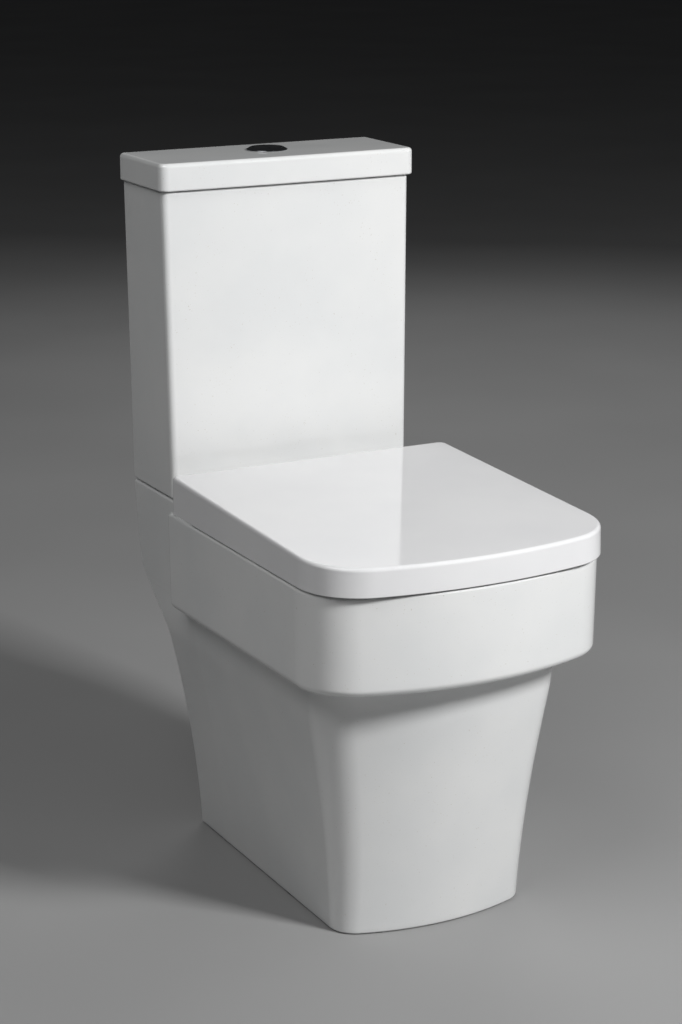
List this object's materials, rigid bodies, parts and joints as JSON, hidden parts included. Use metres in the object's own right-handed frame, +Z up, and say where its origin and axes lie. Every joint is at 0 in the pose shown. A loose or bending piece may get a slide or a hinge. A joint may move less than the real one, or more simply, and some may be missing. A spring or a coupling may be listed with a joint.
{
  "type": "close coupled toilet",
  "caption": "Close coupled toilet: skirted ceramic pan, slim cistern with lid and dual flush button, soft-close seat ring and cover, flush and fill valves inside.",
  "frame": {"origin": "on the floor, under the middle of the bounding box", "axes": "+Z up, -Y to the front of the toilet, +Y to the wall, +X to the right of someone facing the toilet"},
  "size_m": [0.374, 0.5984, 0.8441],
  "materials": {
    "china": "glossy white glaze",
    "seat": "glossy white thermoset",
    "chrome": "polished",
    "steel": "plain",
    "brass": "plain turned",
    "rubber": "matt black",
    "clear_rubber": "translucent grey, shown opaque",
    "white_plastic": "moulded",
    "grey_plastic": "moulded",
    "blue_plastic": "moulded"
  },
  "bodies": {
    "toilet": {"pan": "china", "pan_bowl": "china", "pan_trap": "china", "pan_flush_duct": "china", "cistern": "china", "flush_valve_base": "white_plastic", "flush_valve_washer": "rubber", "flush_valve_back_nut": "grey_plastic", "flush_valve_cage": "white_plastic", "flush_valve_cap": "blue_plastic", "coupling_gasket": "rubber", "fill_valve_body": "white_plastic", "fill_valve_washer": "rubber", "fill_valve_back_nut": "white_plastic", "fill_valve_head": "grey_plastic", "lever_pin": "steel", "blanking_plug": "white_plastic", "blanking_plug_washer": "rubber", "blanking_plug_nut": "white_plastic", "coupling_bolt_left": "brass", "coupling_bolt_right": "brass", "coupling_washer_left": "rubber", "coupling_washer_right": "rubber", "coupling_wing_nut_left": "brass", "coupling_wing_nut_right": "brass", "hinge_pillar_left": "chrome", "hinge_pillar_right": "chrome", "hinge_pin_left": "steel", "hinge_pin_right": "steel", "hinge_stud_left": "steel", "hinge_stud_right": "steel", "stud_washer_left": "rubber", "stud_washer_right": "rubber", "stud_wing_nut_left": "white_plastic", "stud_wing_nut_right": "white_plastic"},
    "lid": {"cistern_lid": "china", "button_bezel": "chrome", "button_housing": "white_plastic", "button_clamp_nut": "white_plastic"},
    "full_button": {"full_flush_button": "chrome", "full_push_rod": "white_plastic"},
    "half_button": {"half_flush_button": "chrome", "half_push_rod": "white_plastic"},
    "flush_piston": {"flush_valve_piston": "grey_plastic", "flush_valve_seal": "rubber"},
    "float": {"fill_valve_float": "blue_plastic", "float_rod": "steel"},
    "float_lever": {"float_lever": "grey_plastic"},
    "ring": {"seat_ring": "seat", "ring_damper_left": "grey_plastic", "ring_bush_right": "grey_plastic", "ring_buffer_front_left": "clear_rubber", "ring_buffer_front_right": "clear_rubber", "ring_buffer_back_left": "clear_rubber", "ring_buffer_back_right": "clear_rubber"},
    "cover": {"seat_cover": "seat", "cover_bush_left": "grey_plastic", "cover_damper_right": "grey_plastic", "cover_buffer_left": "clear_rubber", "cover_buffer_right": "clear_rubber"}
  },
  "joints": [
    {"name": "ring_open", "type": "hinge", "parent": "toilet", "child": "ring", "pos_m": [0, 0.1092, 0.456], "axis": [-1, 0, 0], "range_deg": [0, 97]},
    {"name": "cover_open", "type": "hinge", "parent": "ring", "child": "cover", "pos_m": [0, 0.1092, 0.456], "axis": [1, 0, 0], "range_deg": [-97, 0]},
    {"name": "lid_lift", "type": "slide", "parent": "toilet", "child": "lid", "axis": [0, 0, 1], "range_m": [0, 0.12]},
    {"name": "full_flush_press", "type": "slide", "parent": "lid", "child": "full_button", "axis": [0, 0, -1], "range_m": [0, 0.006], "stiffness_N_per_m": 500, "springref_m": -0.006},
    {"name": "half_flush_press", "type": "slide", "parent": "lid", "child": "half_button", "axis": [0, 0, -1], "range_m": [0, 0.006], "stiffness_N_per_m": 500, "springref_m": -0.006},
    {"name": "flush_piston_lift", "type": "slide", "parent": "toilet", "child": "flush_piston", "axis": [0, 0, 1], "range_m": [0, 0.0201]},
    {"name": "float_slide", "type": "slide", "parent": "toilet", "child": "float", "axis": [0, 0, 1], "range_m": [-0.008, 0], "stiffness_N_per_m": 150, "springref_m": 0.008},
    {"name": "float_lever_turn", "type": "hinge", "parent": "toilet", "child": "float_lever", "pos_m": [0.114, 0.2502, 0.716], "axis": [0, 1, 0], "range_deg": [-20.5, 0]}
  ],
  "couplings": [
    {"joint": "flush_piston_lift", "follows": "full_flush_press", "ratio": 3.3333},
    {"joint": "float_lever_turn", "follows": "float_slide", "rad_per_m": 44.4}
  ]
}
